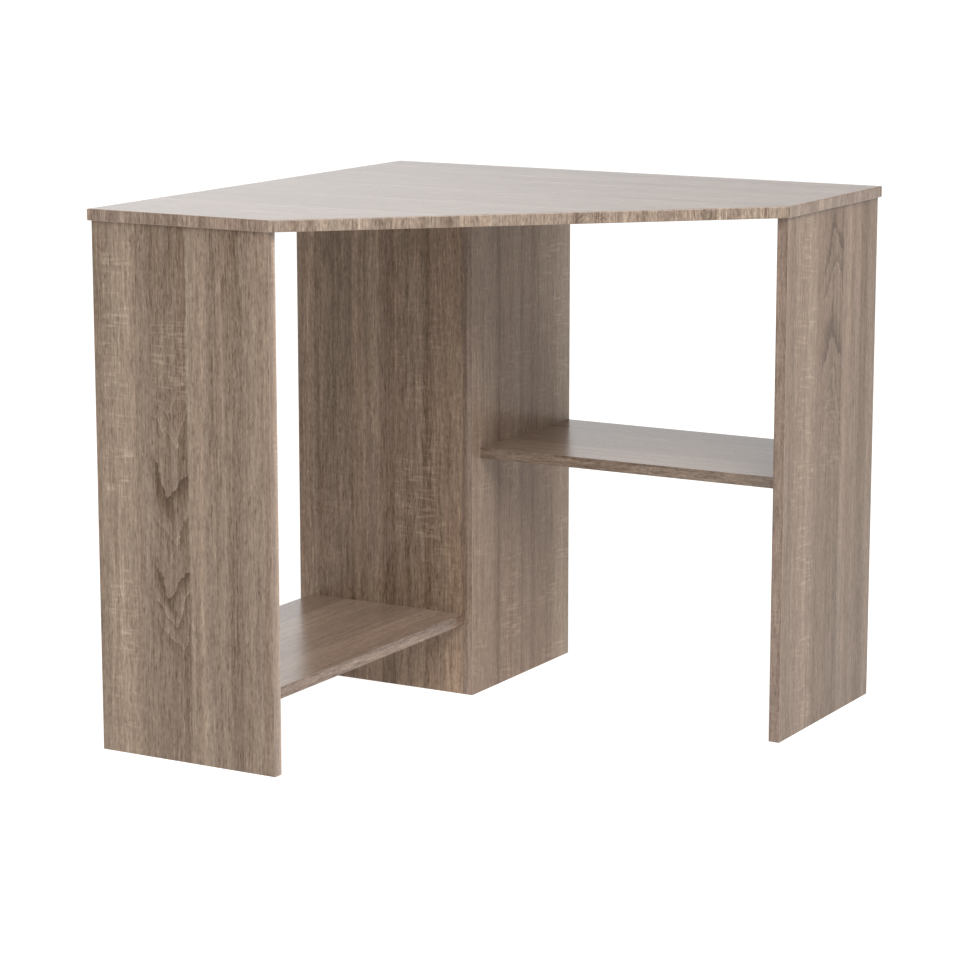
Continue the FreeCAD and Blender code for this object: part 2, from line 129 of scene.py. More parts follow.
def makeSoftbox(name, light, aim):
    azimuth = math.radians(light["azimuth"])
    elevation = math.radians(light["elevation"])
    away = Vector((math.sin(azimuth) * math.cos(elevation),
                   -math.cos(azimuth) * math.cos(elevation), math.sin(elevation)))
    data = bpy.data.lights.new(name, "AREA")
    data.shape = "RECTANGLE"
    data.size = light["width"]
    data.size_y = light["height"]
    data.energy = light["watts"]
    lamp = bpy.data.objects.new(name, data)
    scene.collection.objects.link(lamp)
    lamp.location = Vector(aim) + away * light["distance"]
    lamp.rotation_euler = away.to_track_quat("Z", "Y").to_euler()
    lamp.visible_camera = False


def makeSky(s):
    world = bpy.data.worlds.new("studioSky")
    scene.world = world
    world.use_nodes = True
    tree = world.node_tree
    tree.nodes.clear()
    ahead = Euler([math.radians(angle) for angle in camera["turn"]]).to_matrix() @ Vector((0, 0, -1))
    behind = Vector((ahead.x, ahead.y, 0)).normalized()
    rightwards = Vector((behind.y, -behind.x, 0))
    look = addNode(tree, "ShaderNodeTexCoord").outputs["Generated"]
    height = addNode(tree, "ShaderNodeSeparateXYZ", {0: look})
    depth = addNode(tree, "ShaderNodeVectorMath", {0: look, 1: behind}, operation="DOT_PRODUCT")
    side = addNode(tree, "ShaderNodeVectorMath", {0: look, 1: rightwards}, operation="DOT_PRODUCT")
    w = s["wash"]
    wall = addNode(tree, "ShaderNodeMapRange", {
        "Value": depth.outputs["Value"], "From Min": w["ahead"][0], "From Max": w["ahead"][1]},
        interpolation_type="SMOOTHSTEP")
    low = addNode(tree, "ShaderNodeMapRange", {
        "Value": height.outputs["Z"], "From Min": w["height"][0], "From Max": w["height"][1]},
        interpolation_type="SMOOTHSTEP")
    fade = addNode(tree, "ShaderNodeMapRange", {
        "Value": side.outputs["Value"], "From Min": w["sides"][0], "From Max": w["sides"][1],
        "To Min": w["strength"], "To Max": w["strength"] * (1 - w["fade"])},
        interpolation_type="SMOOTHSTEP")
    wash = addNode(tree, "ShaderNodeMath", {0: wall, 1: low}, operation="MULTIPLY")
    total = addNode(tree, "ShaderNodeMath", {0: wash, 1: fade, 2: s["skyStrength"]},
                    operation="MULTIPLY_ADD")
    sky = addNode(tree, "ShaderNodeBackground", {"Color": (1, 1, 1, 1), "Strength": total})
    addNode(tree, "ShaderNodeOutputWorld", {"Surface": sky})


def makeFloor(s):
    half = s["size"] / 2
    corners = [(-half, -half, 0), (half, -half, 0), (half, half, 0), (-half, half, 0)]
    mesh = bpy.data.meshes.new("floor")
    mesh.from_pydata(corners, [], [(0, 1, 2, 3)])
    floor = bpy.data.objects.new("floor", mesh)
    floor.location.z = -s["drop"] * mm
    scene.collection.objects.link(floor)
    material = newMaterial("paleSweep")
    tree = material.node_tree
    paper = addNode(tree, "ShaderNodeBsdfPrincipled", {
        "Base Color": hexColour(s["colour"]), "Roughness": s["roughness"], "Specular IOR Level": 0.0,
        "Emission Color": (1, 1, 1, 1), "Emission Strength": s["glow"]})
    addNode(tree, "ShaderNodeOutputMaterial", {"Surface": paper})
    mesh.materials.append(material)


makeCamera(camera)
makeSky(studio)
makeSoftbox("keySoftbox", studio["key"], studio["aim"])
makeSoftbox("fillPanel", studio["fill"], studio["aim"])
makeFloor(studio["floor"])
scene.view_settings.view_transform = "Standard"
print("studio ready")


# Melamine-faced board: decor paper pressed under melamine resin. The eye sees grey-brown sawn oak in
# narrow lamellas, with open grain, pale saw marks across it and dark flames, under a satin skin that
# mirrors the studio at low angles. Sizes are millimetres (across, along) the grain. Each noise has its own
# seed, and marks made from one begin at its "from" and are full at its "to".
oakPrint = {
    "wander": {"size": (90, 330), "detail": 1.0, "seed": 3, "reach": 5.0},  # slow drift of the fibres
    "curl": {"size": (7, 17), "detail": 1.0, "seed": 5, "reach": 1.7},  # short waves in them
    # fibres, short flecks, streaks and growth bands. The first two are really a third of that width, too
    # fine to show.
    "layers": [
        {"size": (1.6, 38), "detail": 2.0, "seed": 11, "strength": 0.80},
        {"size": (2.4, 7), "detail": 1.0, "seed": 18, "strength": 0.48},
        {"size": (5.5, 260), "detail": 2.0, "seed": 25, "strength": 0.50},
        {"size": (19, 1100), "detail": 1.0, "seed": 32, "strength": 0.32},
    ],
    "pores": {"size": (1.5, 13), "detail": 1.0, "seed": 41, "from": 0.58, "to": 0.74, "strength": -0.26},
    "saw": {"size": (24, 3.4), "detail": 0.0, "seed": 53, "from": 0.50, "to": 0.76, "strength": 0.23},
    "sawPatches": {"size": (60, 34), "detail": 1.0, "seed": 59, "from": 0.40, "to": 0.60},
    "flameEdges": [  # torn edges of the arches, and their slower bends
        {"size": (7, 8), "detail": 2.0, "seed": 87, "reach": 20},
        {"size": (26, 44), "detail": 2.0, "seed": 113, "reach": 46},
    ],
    "flameLine": (3.6, 0.8),  # pale line before an arch, and half of the way from pale to dark
    "tint": {"size": (13, 900), "detail": 1.0, "seed": 83, "from": 0.38, "to": 0.62,
             "cool": "#fcfdfa", "warm": "#fffcf7"},
    "through": 10.0,  # size of every noise through the board
    "tones": [(0.0, "#4b3a2f"), (0.25, "#614f41"), (0.5, "#77655a"), (0.75, "#8b786a"), (1.0, "#a08e80"),
              (1.25, "#b5a497")],
    "reliefDepth": 0.1,
    "reliefStrength": 0.15,
    "roughness": 0.26,
    "ior": 1.5,  # melamine resin
}


def drawnNoise(tree, place, look):
    # noise drawn out along the grain
    across, along = look["size"]
    seed = look["seed"]
    drawn = addNode(tree, "ShaderNodeMapping", {
        "Vector": place, "Scale": (1 / across, 1 / along, 1 / oakPrint["through"]),
        "Location": (seed, -seed, seed)})
    return addNode(tree, "ShaderNodeTexNoise", {"Vector": drawn, "Scale": 1.0, "Detail": look["detail"]})


def makeOakPrint(s):
    tree = bpy.data.node_groups.new("sawnOakPrint", "ShaderNodeTree")
    for label, kind in (("Place", "Vector"), ("Shift", "Vector"), ("Layout", "Color"),
                        ("Runs", "Color"), ("Flame", "Float"), ("Saw Slant", "Float"),
                        ("Contrast", "Float"), ("Cast", "Color")):
        tree.interface.new_socket(label, in_out="INPUT", socket_type="NodeSocket" + kind)
    tree.interface.new_socket("Colour", in_out="OUTPUT", socket_type="NodeSocketColor")
    tree.interface.new_socket("Height", in_out="OUTPUT", socket_type="NodeSocketFloat")
    inlet = addNode(tree, "NodeGroupInput").outputs
    # red, green and blue: the layout's are tone, flame and saw marks, the runs' saw marks, ladder and drift
    # in tone, the drift being painted shade and light along the board
    layout = addNode(tree, "ShaderNodeSeparateColor", {0: inlet["Layout"]}).outputs
    runs = addNode(tree, "ShaderNodeSeparateColor", {0: inlet["Runs"]}).outputs
    place = addNode(tree, "ShaderNodeVectorMath", {0: inlet["Place"], 1: inlet["Shift"]}, operation="ADD")

    # the fibres drift and curl a little as they run along the board
    drift = -s["wander"]["reach"] - s["curl"]["reach"]
    for wave in (s["wander"], s["curl"]):
        grain = drawnNoise(tree, place, wave)
        drift = addNode(tree, "ShaderNodeMath", {0: grain, 1: 2 * wave["reach"], 2: drift},
                        operation="MULTIPLY_ADD")
    drift = addNode(tree, "ShaderNodeCombineXYZ", {"X": drift})
    bent = addNode(tree, "ShaderNodeVectorMath", {0: place, 1: drift}, operation="ADD")

    # the grain's tone, as a difference from the lamella's own
    grains = [drawnNoise(tree, bent, layer) for layer in s["layers"]]
    tone = -sum(layer["strength"] for layer in s["layers"]) / 2
    for grain, layer in zip(grains, s["layers"]):
        tone = addNode(tree, "ShaderNodeMath", {0: grain, 1: layer["strength"], 2: tone},
                       operation="MULTIPLY_ADD")
    grain = drawnNoise(tree, bent, s["pores"])
    pores = addNode(tree, "ShaderNodeMapRange", {
        "Value": grain, "From Min": s["pores"]["from"], "From Max": s["pores"]["to"]})
    tone = addNode(tree, "ShaderNodeMath", {0: pores, 1: s["pores"]["strength"], 2: tone},
                   operation="MULTIPLY_ADD")
    tone = addNode(tree, "ShaderNodeMath", {0: tone, 1: inlet["Contrast"], 2: layout["Red"]},
                   operation="MULTIPLY_ADD")
    # painted shade and light: the runs' drift makes stretches along the board darker or paler
    tone = addNode(tree, "ShaderNodeMath", {0: tone, 1: runs["Blue"]}, operation="ADD")
    tone = addNode(tree, "ShaderNodeMath", {0: tone, 1: rampZero}, operation="SUBTRACT")

    # pale saw marks in patches, straight across the grain or on a slant
    split = addNode(tree, "ShaderNodeSeparateXYZ", {0: place}).outputs
    slanted = addNode(tree, "ShaderNodeMath", {0: split["X"], 1: inlet["Saw Slant"], 2: split["Y"]},
                      operation="MULTIPLY_ADD")
    slanted = addNode(tree, "ShaderNodeCombineXYZ", {"X": split["X"], "Y": slanted, "Z": split["Z"]})
    grain = drawnNoise(tree, slanted, s["saw"])
    marks = addNode(tree, "ShaderNodeMapRange", {
        "Value": grain, "From Min": s["saw"]["from"], "From Max": s["saw"]["to"]})
    grain = drawnNoise(tree, place, s["sawPatches"])
    patches = addNode(tree, "ShaderNodeMapRange", {
        "Value": grain, "From Min": s["sawPatches"]["from"], "From Max": s["sawPatches"]["to"]})
    patches = addNode(tree, "ShaderNodeMath", {0: patches, 1: layout["Blue"]}, operation="MULTIPLY")
    patches = addNode(tree, "ShaderNodeMath", {0: patches, 1: runs["Red"]}, operation="MULTIPLY")
    patches = addNode(tree, "ShaderNodeMath", {0: layout["Green"], 1: runs["Green"], 2: patches},
                      operation="MULTIPLY_ADD")
    marks = addNode(tree, "ShaderNodeMath", {0: marks, 1: patches}, operation="MULTIPLY")
    tone = addNode(tree, "ShaderNodeMath", {0: marks, 1: s["saw"]["strength"], 2: tone},
                   operation="MULTIPLY_ADD")

    tone = addNode(tree, "ShaderNodeMath", {0: inlet["Flame"], 1: layout["Green"], 2: tone},
                   operation="MULTIPLY_ADD")

    # a ramp ends at 1, so the tone is scaled to the palest one first
    palest = s["tones"][-1][0]
    tone = addNode(tree, "ShaderNodeMath", {0: tone, 1: 1 / palest}, operation="MULTIPLY")
    shade = addNode(tree, "ShaderNodeValToRGB", {0: tone})
    setRamp(shade.color_ramp, [(at / palest, hexColour(code)) for at, code in s["tones"]])
    tint = addNode(tree, "ShaderNodeValToRGB", {0: drawnNoise(tree, bent, s["tint"])})
    setRamp(tint.color_ramp, [(s["tint"]["from"], hexColour(s["tint"]["cool"])),
                              (s["tint"]["to"], hexColour(s["tint"]["warm"]))])
    colour = addNode(tree, "ShaderNodeMix", {0: 1.0, 6: shade, 7: tint},
                     data_type="RGBA", blend_type="MULTIPLY")
    # painted light: each piece's cast, the colour and shade of the light that falls on it
    colour = addNode(tree, "ShaderNodeMix", {0: 1.0, 6: colour.outputs[2], 7: inlet["Cast"]},
                     data_type="RGBA", blend_type="MULTIPLY")
    # the relief is that of the fibres, with the pores sunk in it
    height = addNode(tree, "ShaderNodeMath", {0: grains[0], 1: pores}, operation="SUBTRACT")
    addNode(tree, "NodeGroupOutput", {"Colour": colour.outputs[2], "Height": height})
    return tree


# Raw chipboard, where the board is cut or bored: pressed softwood flakes in glue. The eye sees a dry, pale
# and open mix of yellow and brown flakes, coarse in the middle and fine near the faces.
chipboard = {
    "flakeSize": (3.2, 1.1),  # middle, and near the faces, in millimetres
    "flakeBend": 0.9,  # wavers of the flakes' edges, to each flake's size
    "fineDepth": (2.5, 1.0),  # where the fine flakes start, and where there is nothing else
    "skinDepth": 0.25,  # paper and resin, so nearer to a face than this is laminate
    "colours": [(0.0, "#6f5438"), (0.35, "#9a7a52"), (0.7, "#bb9a6c"), (1.0, "#d6bd93")],
    "roughness": 0.92,
}


def makeChipboard(s):
    tree = bpy.data.node_groups.new("rawChipboard", "ShaderNodeTree")
    tree.interface.new_socket("Place", in_out="INPUT", socket_type="NodeSocketVector")
    tree.interface.new_socket("Depth", in_out="INPUT", socket_type="NodeSocketFloat")
    tree.interface.new_socket("Colour", in_out="OUTPUT", socket_type="NodeSocketColor")
    tree.interface.new_socket("Height", in_out="OUTPUT", socket_type="NodeSocketFloat")
    inlet = addNode(tree, "NodeGroupInput").outputs
    tones = []
    for size in s["flakeSize"]:
        waver = addNode(tree, "ShaderNodeTexNoise", {
            "Vector": inlet["Place"], "Scale": s["flakeBend"] / size})
        bent = addNode(tree, "ShaderNodeVectorMath", {
            0: waver.outputs["Color"], 1: (size,) * 3, 2: inlet["Place"]}, operation="MULTIPLY_ADD")
        flakes = addNode(tree, "ShaderNodeTexVoronoi", {"Vector": bent, "Scale": 1 / size})
        flakes = addNode(tree, "ShaderNodeSeparateColor", {0: flakes.outputs["Color"]})
        tones.append(flakes.outputs["Red"])
    fine = addNode(tree, "ShaderNodeMapRange", {
        "Value": inlet["Depth"], "From Min": s["fineDepth"][0], "From Max": s["fineDepth"][1]})
    tone = addNode(tree, "ShaderNodeMix", {0: fine, 2: tones[0], 3: tones[1]}, data_type="FLOAT")
    shade = addNode(tree, "ShaderNodeValToRGB", {0: tone})
    setRamp(shade.color_ramp, [(at, hexColour(code)) for at, code in s["colours"]])
    addNode(tree, "NodeGroupOutput", {"Colour": shade, "Height": tone})
    return tree


# How each turn lays the print, in degrees. Its name says which of the object's axes run across and along
# the grain, and the diagonal edge has its own.
low, high = (Vector(corner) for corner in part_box("desktop_band_diagonal"))
run = high - low
grainTurns = {
    "xz": (-90, 0, 0),
    "yz": (-90, -90, 0),
    "yx": (0, 0, 90),
    "xy": (0, 0, 0),
    "zx": (90, 0, 90),
    "zy": (0, 90, 0),
    "diagonal": (-90, -math.degrees(math.atan2(run.y, run.x)), 0),
}
even = [(0, (1, 0, 0)), (1, (1, 0, 0))]  # saw marks alike all along, no ladder and no drift in tone

# Places and sizes are millimetres. A board's strips are its lamellas: (place across, tone, flame, saw
# marks). Its runs go along them: (place, (saw marks, ladder, drift in tone)), the ladder being saw marks
# on a flame and the drift in tone being painted shade and light, darker or paler stretches of the board
# where less or more light falls on it. Its flames are (tip, middle across, pale line, dark, fade), their
# slope is how fast the arches fall away from the middle, and their span is the length they fit in. Its
# shift says where in the print it is cut from, its lift is painted light that adds to all its tones, most
# for the boards that lie in shade under the desktop, its cast is painted light too, the colour and shade
# of the light that falls on it, and its sheen is how much the resin mirrors.
boards = {
    "left_end_panel": {
        "turn": "xz", "shift": (0, 0, 0), "paintedLightLift": 0.05, "sheen": 0.2, "paintedLightCast": "#fbfffe",
        "strips": [(0, .55, 0, .1), (13, .52, 0, .3), (16, .58, 0, 1), (44, .67, 0, 1), (60, .68, 0, 1),
                   (66, .58, 0, .2), (80, .50, 0, 0), (91, .46, .2, 0), (97, .45, .9, 0),
                   (130, .46, 1, 0), (133, .38, 1, 0), (149.5, .36, 1, 0), (150.5, .60, 0, 0),
                   (172, .68, 0, 0), (186, .50, 0, 0), (196, .42, 0, 0), (206, .50, 0, 0),
                   (218, .42, 0, 0), (226, .34, 0, 0), (240, .48, 0, 0), (284, .58, 0, 0)],
        "runs": [(0, (.4, 0, .03)), (280, (1, 0, .01)), (470, (1, 0, 0)), (500, (1, .6, -.02)),
                 (530, (1, 1, -.03)), (600, (1, .9, -.05)), (620, (1, 0, -.05)), (690, (1, 0, -.08)),
                 (734, (1, 0, -.10))],
        "flameFromTop": True, "flameSlope": 1.6,
        "flames": [(232, 112, .12, .10, 14), (262, 120, .20, .12, 16), (296, 131, .30, .12, 26),
                   (372, 115, .16, .44, 46), (436, 130, .40, .10, 26), (508, 115, .18, .48, 26),
                   (546, 127, .34, .24, 22), (584, 142, .30, .16, 60)],
    },
    "left_inner_panel": {
        "turn": "xz", "shift": (410, 900, 300), "paintedLightLift": 0.08, "sheen": 0.2, "paintedLightCast": "#fffdf6",
        "contrast": 1.1,
        "strips": [(0, .56, 0, .2), (22, .58, 0, .3), (34, .36, 0, .3), (50, .43, 0, .4),
                   (58, .47, 0, .4), (72, .40, 0, .4), (96, .45, 0, .3), (110, .51, 0, .3),
                   (122, .64, 0, .3), (140, .60, 0, .2), (150, .47, 0, 0), (167, .30, 0, 0),
                   (169, .50, .5, .8), (188, .42, .8, 1), (204, .53, .8, 1), (212, .45, .8, 1),
                   (232, .34, .8, 1), (246, .52, .4, .6), (284, .58, 0, .4)],
        "runs": [(0, (.3, 0, .03)), (60, (.4, 0, .03)), (150, (.7, 0, 0)), (200, (.8, 0, -.04)),
                 (240, (1, .6, -.05)), (330, (1, .6, -.06)), (370, (.8, 0, -.03)), (400, (.8, 0, 0)),
                 (480, (.7, 0, .04)), (570, (.5, 0, .05)), (630, (.4, 0, 0))],
        "flameSlope": 6.5,
        "flames": [(210, 205, .05, .12, 50), (290, 212, .06, .14, 60), (390, 206, .08, .16, 60),
                   (480, 210, .05, .12, 70), (590, 208, .06, .12, 60), (690, 208, .05, .10, 40)],
    },
    "right_inner_panel": {
        "turn": "yz", "shift": (820, 300, 600), "paintedLightLift": 0.21, "sheen": 0.1, "paintedLightCast": "#fdfdfb",
        "contrast": 0.75, "sawSlant": 0.08,
        "strips": [(0, .45, 0, .6), (38, .51, 0, .6), (56, .45, 0, .4), (70, .38, 0, .3),
                   (76, .17, 0, 0), (84, .36, .3, .5), (104, .45, .7, .6), (118, .42, .7, .6),
                   (138, .52, .4, .6), (146, .36, .2, .4), (154, .45, 0, .5), (172, .52, 0, .4),
                   (180, .38, 0, .3), (190, .51, 0, .3), (206, .52, 0, .5), (222, .57, 0, .6),
                   (240, .58, 0, .8), (262, .71, 0, 1), (280, .85, 0, 1), (298, .86, 0, 1)],
        "runs": [(0, (1, .2, -.07)), (30, (1, .9, -.07)), (165, (1, .9, -.07)), (200, (1, 0, -.07)),
                 (330, (1, 0, -.05)), (400, (1, 0, 0)), (490, (1, 0, .05)), (580, (1, 0, .08)),
                 (650, (1, 0, .06)), (734, (1, 0, .02))],
    },
    "right_end_panel": {
        "turn": "yz", "shift": (150, 2200, 900), "paintedLightLift": 0.0, "sheen": 0.2, "paintedLightCast": "#fffef8",
        "contrast": 0.85, "sawSlant": 0.12,
        "strips": [(0, .55, 0, .2), (20, .49, 0, 0), (34, .53, 0, .6), (60, .58, 0, .8),
                   (76, .65, 0, .9), (96, .60, 0, .9), (104, .47, 0, .2), (120, .42, .2, 0),
                   (134, .35, .8, 0), (150, .36, .9, 0), (164, .36, .9, 0), (189.5, .36, .8, 0),
                   (190.5, .53, 0, .1), (212, .55, 0, 0), (228, .39, 0, 0), (246, .53, 0, 0),
                   (258, .36, 0, 0), (272, .30, 0, 0), (286, .53, 0, 0), (310, .44, 0, 0)],
        "runs": [(0, (.7, 0, -.04)), (200, (.9, 0, -.02)), (350, (1, 0, 0)), (370, (1, .7, 0)),
                 (460, (1, .6, 0)), (490, (1, .1, 0))],
        "flameSlope": 1.6,
        "flames": [(452, 146, .16, .14, 12), (478, 150, .22, .16, 14), (506, 160, .30, .20, 22),
                   (562, 150, .16, .50, 50), (660, 168, .44, .24, 26), (706, 156, .18, .55, 30)],
    },
    "lower_shelf": {
        "turn": "xy", "shift": (530, 1200, 100), "paintedLightLift": 0.18, "contrast": 0.7,
        "strips": [(0, .5, 0, .3), (60, .42, 0, .1), (61, .56, 0, .6), (110, .5, 0, .3),
                   (180, .40, 0, 0), (182, .53, 0, .4), (262, .48, 0, .2)],
    },
    "upper_shelf": {
        "turn": "yx", "shift": (660, 2900, 700), "paintedLightLift": 0.20, "contrast": 0.6,
        "strips": [(0, .46, 0, .2), (70, .40, 0, .1), (71, .52, 0, .5), (130, .46, 0, .3),
                   (190, .38, 0, 0), (192, .50, 0, .4), (272, .46, 0, .2)],
    },
    "desktop": {
        "turn": "yx", "shift": (50, 3900, 200), "contrast": 1.3,
        "strips": [(0, .5, 0, .3), (60, .42, 0, 0), (61, .58, 0, .6), (110, .5, 0, .3),
                   (180, .41, 0, 0), (182, .55, 0, .4), (300, .48, 0, .2), (302, .44, 0, 0),
                   (370, .56, 0, .5), (440, .46, 0, 0), (442, .54, 0, .3), (560, .48, 0, .2),
                   (562, .56, 0, .5), (640, .43, 0, 0), (642, .53, 0, .4), (804, .50, 0, .2)],
    },
}


def layFlames(tree, s, place, split, size):
    # nested arches, each a ragged pale line that breaks into dark and fades
    lineWidth, lineEdge = oakPrint["flameLine"]
    span = s.get("flameSpan", size.y)
    along = split["Y"]
    if s.get("flameFromTop"):
        along = addNode(tree, "ShaderNodeMath", {0: size.y, 1: along}, operation="SUBTRACT")
    share = addNode(tree, "ShaderNodeMath", {0: along, 1: 1 / span}, operation="MULTIPLY")
    middle = addNode(tree, "ShaderNodeValToRGB", {0: share})
    setRamp(middle.color_ramp, [(tip / span, (across / size.x,) * 3 + (1,))
                                for tip, across, *rest in s["flames"]])
    middle = addNode(tree, "ShaderNodeMath", {0: middle, 1: size.x}, operation="MULTIPLY")
    aside = addNode(tree, "ShaderNodeMath", {0: split["X"], 1: middle}, operation="SUBTRACT")
    aside = addNode(tree, "ShaderNodeMath", {0: aside}, operation="ABSOLUTE")
    arch = addNode(tree, "ShaderNodeMath", {0: aside, 1: s["flameSlope"], 2: along},
                   operation="MULTIPLY_ADD")
    for look in oakPrint["flameEdges"]:
        waver = drawnNoise(tree, place, look)
        arch = addNode(tree, "ShaderNodeMath", {0: waver, 1: look["reach"], 2: arch},
                       operation="MULTIPLY_ADD")
        arch = addNode(tree, "ShaderNodeMath", {0: arch, 1: look["reach"] / 2}, operation="SUBTRACT")
    arch = addNode(tree, "ShaderNodeMath", {0: arch, 1: 1 / span}, operation="MULTIPLY")
    profile = addNode(tree, "ShaderNodeValToRGB", {0: arch})
    stops = []
    for tip, across, pale, dark, fade in s["flames"]:
        for at, tone in ((tip - lineWidth, 0), (tip - lineEdge, pale), (tip + lineEdge, -dark),
                         (tip + fade, 0)):
            stops.append((at / span, (tone + rampZero,) * 3 + (1,)))
    setRamp(profile.color_ramp, stops)
    return addNode(tree, "ShaderNodeMath", {0: profile, 1: rampZero}, operation="SUBTRACT")


def layPrint(tree, s, low, high):
    # the object's own axes become millimetres across, along and through the piece
    turn = Euler([math.radians(angle) for angle in grainTurns[s["turn"]]])
    ends = [turn.to_matrix() @ Vector(corner) / mm for corner in (low, high)]
    start = Vector(map(min, *ends))
    size = Vector(map(max, *ends)) - start
    coords = addNode(tree, "ShaderNodeTexCoord").outputs["Object"]
    place = addNode(tree, "ShaderNodeMapping", {
        "Vector": coords, "Rotation": turn, "Scale": (1 / mm,) * 3, "Location": -start})
    split = addNode(tree, "ShaderNodeSeparateXYZ", {0: place}).outputs
    across = addNode(tree, "ShaderNodeMath", {0: split["X"], 1: 1 / size.x}, operation="MULTIPLY")
    layout = addNode(tree, "ShaderNodeValToRGB", {0: across})
    # painted light: the lift makes the whole board paler, most where it lies in shade under the desktop
    paintedLightLift = s.get("paintedLightLift", 0)
    setRamp(layout.color_ramp, [(min(1, at / size.x), (tone + paintedLightLift, flame, saw, 1))
                                for at, tone, flame, saw in s["strips"]])
    along = addNode(tree, "ShaderNodeMath", {0: split["Y"], 1: 1 / size.y}, operation="MULTIPLY")
    # the runs carry saw marks, ladder and a drift in tone that is painted shade and light
    runs = addNode(tree, "ShaderNodeValToRGB", {0: along})
    setRamp(runs.color_ramp, [(min(1, at / size.y), (saw, ladder, rampZero + drift, 1))
                              for at, (saw, ladder, drift) in s.get("runs", even)])
    # the oak takes the piece's cast, a painted tint and shade for the light on it
    oak = addNode(tree, "ShaderNodeGroup", {
        "Place": place, "Layout": layout, "Runs": runs, "Shift": s["shift"],
        "Saw Slant": s.get("sawSlant", 0), "Contrast": s.get("contrast", 1),
        "Cast": hexColour(s.get("paintedLightCast", "#ffffff"))}, node_tree=printTree)
    if "flames" in s:
        tree.links.new(layFlames(tree, s, place, split, size).outputs[0], oak.inputs["Flame"])
    return oak.outputs, place, split, size


def makeLaminate(name, s, look):
    material = newMaterial("sawnOakMelamine_" + name)
    tree = material.node_tree
    oak, place, split, size = layPrint(tree, s, *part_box(name))
    # the cut edges and bores between the two faces are raw
    flip = addNode(tree, "ShaderNodeMath", {0: size.z, 1: split["Z"]}, operation="SUBTRACT")
    depth = addNode(tree, "ShaderNodeMath", {0: split["Z"], 1: flip}, operation="MINIMUM")
    raw = addNode(tree, "ShaderNodeMath", {0: depth, 1: chipboard["skinDepth"]}, operation="GREATER_THAN")
    chips = addNode(tree, "ShaderNodeGroup", {"Place": place, "Depth": depth}, node_tree=chipTree).outputs
    colour = addNode(tree, "ShaderNodeMix", {0: raw, 6: oak["Colour"], 7: chips["Colour"]},
                     data_type="RGBA")
    rough = addNode(tree, "ShaderNodeMix", {0: raw, 2: look["roughness"], 3: chipboard["roughness"]},
                    data_type="FLOAT")
    height = addNode(tree, "ShaderNodeMix", {0: raw, 2: oak["Height"], 3: chips["Height"]},
                     data_type="FLOAT")
    relief = addNode(tree, "ShaderNodeBump", {
        "Strength": look["reliefStrength"], "Distance": look["reliefDepth"] * mm, "Height": height})
    skin = addNode(tree, "ShaderNodeBsdfPrincipled", {
        "Base Color": colour.outputs[2], "Roughness": rough, "IOR": look["ior"],
        "Specular IOR Level": s.get("sheen", 0.5), "Normal": relief})
    addNode(tree, "ShaderNodeOutputMaterial", {"Surface": skin})
    return material
